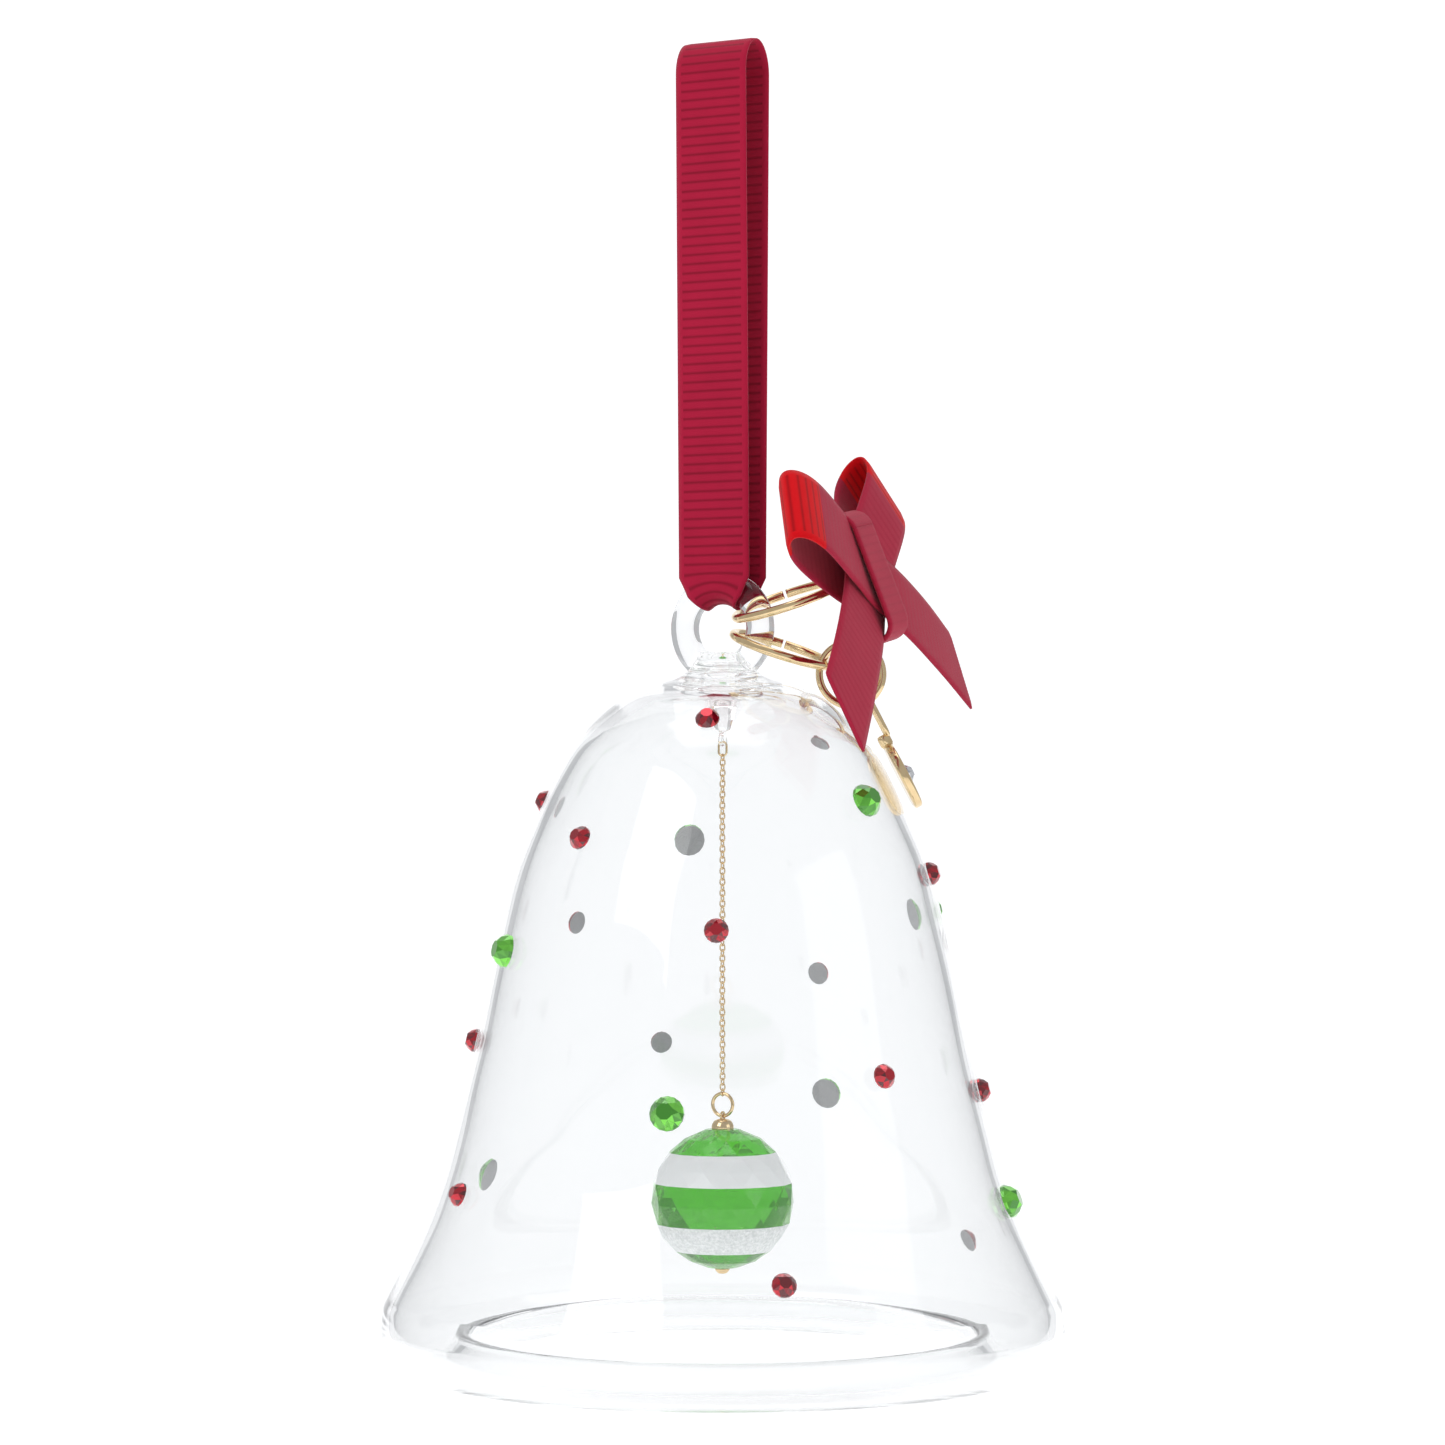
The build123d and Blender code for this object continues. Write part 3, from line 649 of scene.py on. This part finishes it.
def wrap_knot():
    """A band of the same ribbon round the knot, its edges folded under."""
    wide, up, front = bow_axes()
    straight = WRAP_HALF_HEIGHT - WRAP_HALF_DEPTH
    line = []
    for end in (1, -1):
        for a in (pi * n / 24 for n in range(25)):
            line.append(Vector((end * (straight + WRAP_HALF_DEPTH * sin(a)), end * WRAP_HALF_DEPTH * cos(a), 0)))
    line.append(line[0])
    line, length = evenly(line, RIB_PITCH / 6)
    section = folded_edges()
    rows = []
    for spot in line:
        core = Vector((max(-straight, min(straight, spot.x)), 0, 0))
        out = (spot - core).normalized()
        rows.append([BOW_CENTRE + wide * across + up * (spot + out * rise).x + front * (spot + out * rise).y
                     for across, rise in section])
    made = strip("knot_wrap", rows, 0.14, "bow", ("bow_wrap",), "red_ribbon", cloth=FINE_RIBBON)
    length * MM


# ---------------------------------------------------------------- gold

def gold_piece(name, shape, body, nodes):
    return piece(name, *shape, [GOLD], body, nodes, "gold")


def side_ring(name, body, start, rise, radius, gap, lean=9.0):
    along = RIGHT * cos(radians(rise)) + UP * sin(radians(rise))
    across = FRONT.copy()
    across.rotate(Matrix.Rotation(radians(lean), 3, along))
    centre = Vector(start) + along * radius
    opening = radians(1.6)
    path = circle(centre, along, across, radius, 160, radians(gap) + opening, 2 * pi - 2 * opening)
    return gold_piece(name + "_wire", tube(path, GOLD_WIRE, closed=False, sides=20), body, (name,))


def side_point(right, front, height):
    return RIGHT * right + FRONT * front + UP * height


def hang_gold():
    side_ring("bow_ring", "bow", (2.2, -0.5, -72.8), 18.7, 7.0, -90)
    side_ring("tag_ring", "tag_ring", (1.6, 0.0, -74.85), -17.8, 6.4, -90)
    gold_piece("tag_link_wire", tube(circle(side_point(16.2, 0.8, -79.9), RIGHT, UP, 4.0), 0.475, sides=20),
               "tag_link", ("tag_link_ring",))
    down = RIGHT * cos(radians(62.7)) - UP * sin(radians(62.7))
    out = RIGHT * sin(radians(62.7)) + UP * cos(radians(62.7))
    middle = side_point(22.75, 0.8, -92.7)
    bail_centre = side_point(18.08, 0.8, -82.37) + down * 2.9
    gold_piece("tag_bail_wire", tube(oval(bail_centre, FRONT, down, 1.1, 2.9), 0.4, sides=14), "tag", ("tag_bail",))
    place = Matrix((down, FRONT, out)).transposed().to_4x4()
    if place.determinant() < 0:
        place = Matrix((down, -FRONT, out)).transposed().to_4x4()
    place.translation = middle
    edge = [(4.45 - 0.35 + 0.35 * sin(a), 0.575 - 0.35 + 0.35 * cos(a)) for a in (pi / 2 * n / 6 for n in range(7))]
    face = [(0, 0.575), (1.4, 0.575), (3.7, 0.575), (3.85, 0.5)] + edge
    disc = lathed(face + [(r, -h) for r, h in reversed(face)], 96, place)
    collar = tube([middle - down * (4.45 + reach) for reach in (1.3, 1.2, 0.9, 0.0, -0.5)], [0.5, 0.75, 0.85, 0.85, 0.6],
                  closed=False, sides=24)
    gold_piece("tag_plate", joined([disc, collar]), "tag", ("tag_disc",))
    seat = place.copy()
    seat.translation = middle + out * 0.575
    set_stone("tag_crystal", CLEAR_STONE, 2.3, seat, "tag", "clear_crystal", 0.35)


# ---------------------------------------------------------------- chain and clapper

def hang_chain():
    wide_x, wide_y = Vector((1, 0, 0)), Vector((0, 1, 0))
    ring = tube(oval(Vector((0, 0, -89.16)), wide_x, UP, 0.56, 1.11), 0.14, sides=12)
    gold_piece("chain_top_wire", ring, "chain_upper", ("chain_top_ring",))
    first, last, count, upper = -90.485, -132.85, 63, 31
    pitch = (first - last) / (count - 1)
    for name, body, span in (("chain_upper_links", "chain_upper", range(upper)),
                             ("chain_lower_links", "chain_lower", range(upper, count))):
        links = [tube(oval(Vector((0, 0, first - n * pitch)), wide_y if n % 2 == 0 else wide_x, UP, 0.33, 0.455, 10),
                      0.09, sides=8) for n in span]
        gold_piece(name + "_wire", joined(links), body, (name,))
    gold_piece("ball_ring_wire", tube(circle(Vector((0, 0, -134.4)), wide_x, UP, 1.42, 48), 0.225, sides=14),
               "ball_ring", ("ball_ring",))


def cut_ball():
    """A bead cut in staggered facets: a table at each pole and bands of kites between."""
    sides = 16
    levels = [(8.75, 0), (7.6, 1), (5.9, 0), (4.0, 1), (2.1, 0), (-0.5, 1), (-3.1, 0), (-4.85, 1), (-6.6, 0), (-7.9, 1),
              (-8.75, 0)]
    points, faces = [], []
    for height, shift in levels:
        reach = sqrt(BALL_RADIUS ** 2 - height ** 2)
        points += [Vector((reach * cos(2 * pi * (k + shift / 2) / sides), reach * sin(2 * pi * (k + shift / 2) / sides),
                           BALL_HEIGHT + height)) for k in range(sides)]
    for row, (_, shift) in enumerate(levels[:-1]):
        a, b = row * sides, (row + 1) * sides
        for k in range(sides):
            j = (k + 1) % sides
            if shift:
                faces += [(a + k, b + j, b + k), (a + k, a + j, b + j)]
            else:
                faces += [(a + k, a + j, b + k), (a + j, b + j, b + k)]
    faces.append(tuple(range(sides)))
    faces.append(tuple(range((len(levels) - 1) * sides, len(levels) * sides)))
    piece("cut_ball", points, faces, [BALL], "clapper", ("clapper_ball",), "green_glass", smooth=False)
    top = smooth_through([(0.65, -136.2, 0), (1.1, -136.45, 0), (1.38, -137.0, 0), (1.4, -137.5, 0)], 6)
    cap = lathed([(0, -136.15)] + [(p.x, p.y) for p in top] + [(1.1, -137.5), (0, -137.3)], 40)
    eye = tube(circle(Vector((0, 0, -135.82)), Vector((0, 1, 0)), UP, 0.48, 32), 0.15, sides=12)
    gold_piece("cap_and_eye", joined([cap, eye]), "clapper", ("ball_cap", "ball_pin"))
    end = smooth_through([(0.9, -155.0, 0), (0.92, -155.3, 0), (0.6, -155.7, 0), (0.25, -155.8, 0)], 5)
    gold_piece("end_cap", lathed([(0, -154.9)] + [(p.x, p.y) for p in end] + [(0, -155.82)], 32), "clapper",
               ("ball_end_cap",))


def sew():
    """Short stitches across the back strand."""
    shapes = []
    for height in (-60.0, -63.0):
        share = (height + 4) / (RING_HEIGHT + RING_RADIUS + 4)
        face = 3.1 + (2.225 - 3.1) * share + 0.18
        for n in range(5):
            across = (n - 2) * 1.8
            path = [(across + 0.6 * cos(pi * k / 8), face + 0.12 * sin(pi * k / 8), height) for k in range(9)]
            shapes.append(tube(path, 0.11, closed=False, sides=8))
    piece("stitches", *joined(shapes), [RED_RIBBON], "ribbon", ("ribbon_stitches",), "red_thread",
          weave=[(0.5, 0.2)] * sum(len(s[0]) for s in shapes))


# ---------------------------------------------------------------- studio

def studio():
    floor_height, back, rise = -215.0, 900.0, 400.0
    line = [(-900.0, floor_height), (back - rise, floor_height)]
    line += [(back - rise + rise * sin(a), floor_height + rise * (1 - cos(a))) for a in (pi / 2 * n / 24 for n in range(1, 25))]
    line.append((back, 1500.0))
    points, faces = [], []
    for reach, height in line:
        for side in (-430.0, 430.0):
            points.append(-FRONT * reach + RIGHT * side + UP * height)
    for n in range(len(line) - 1):
        faces.append((2 * n, 2 * n + 1, 2 * n + 3, 2 * n + 2))
    finish = Finish("pale_sweep", base_color=(0.9, 0.9, 0.905, 1), emission_color=(1, 1, 1, 1), emission_strength=0.40)
    finish.wear(roughness=0.85 + finish.cloudy(3) * 0.1)
    mesh = bpy.data.meshes.new("sweep")
    mesh.from_pydata([p * MM for p in points], [], faces)
    mesh.materials.append(finish.material)
    mesh.polygons.foreach_set("use_smooth", [True] * len(mesh.polygons))
    sweep = bpy.data.objects.new("sweep", mesh)
    bpy.context.scene.collection.objects.link(sweep)
    aim = Vector((0, 0, -90)) * MM
    for name, place, size, power in (
            ("key", side_point(-420, 420, 330), 420, 1.35), ("fill", side_point(520, 260, 60), 380, 0.5),
            ("top", side_point(0, -40, 620), 520, 1.2)):
        light = bpy.data.lights.new(name, "AREA")
        light.size, light.energy = size * MM, power
        lamp = bpy.data.objects.new(name, light)
        bpy.context.scene.collection.objects.link(lamp)
        lamp.location = place * MM
        lamp.visible_glossy = name == "top"
        lamp.rotation_euler = (aim - lamp.location).to_track_quat("-Z", "Y").to_euler()
    world = bpy.data.worlds.new("studio")
    world.use_nodes = True
    world.node_tree.nodes["Background"].inputs["Color"].default_value = (0.95, 0.97, 1.0, 1)
    world.node_tree.nodes["Background"].inputs["Strength"].default_value = 0.52
    bpy.context.scene.world = world
    bpy.context.scene.view_settings.view_transform = "Standard"
    light_paths = bpy.context.scene.cycles
    light_paths.max_bounces = light_paths.transmission_bounces = light_paths.glossy_bounces = 96


def camera():
    lens = bpy.data.cameras.new("camera")
    lens.sensor_width, lens.lens = 36.0, 102.1
    lens.clip_start, lens.clip_end = 0.05, 10
    made = bpy.data.objects.new("camera", lens)
    bpy.context.scene.collection.objects.link(made)
    made.location = (FRONT * 517 + UP * -97.9) * MM
    look = -FRONT * cos(radians(1.32)) + UP * sin(radians(1.32))
    made.rotation_euler = look.to_track_quat("-Z", "Y").to_euler()
    bpy.context.scene.camera = made


blow_glass()
glue_crystals()
hang_ribbon()
sew()
tie_bow()
wrap_knot()
hang_gold()
hang_chain()
cut_ball()
studio()
camera()
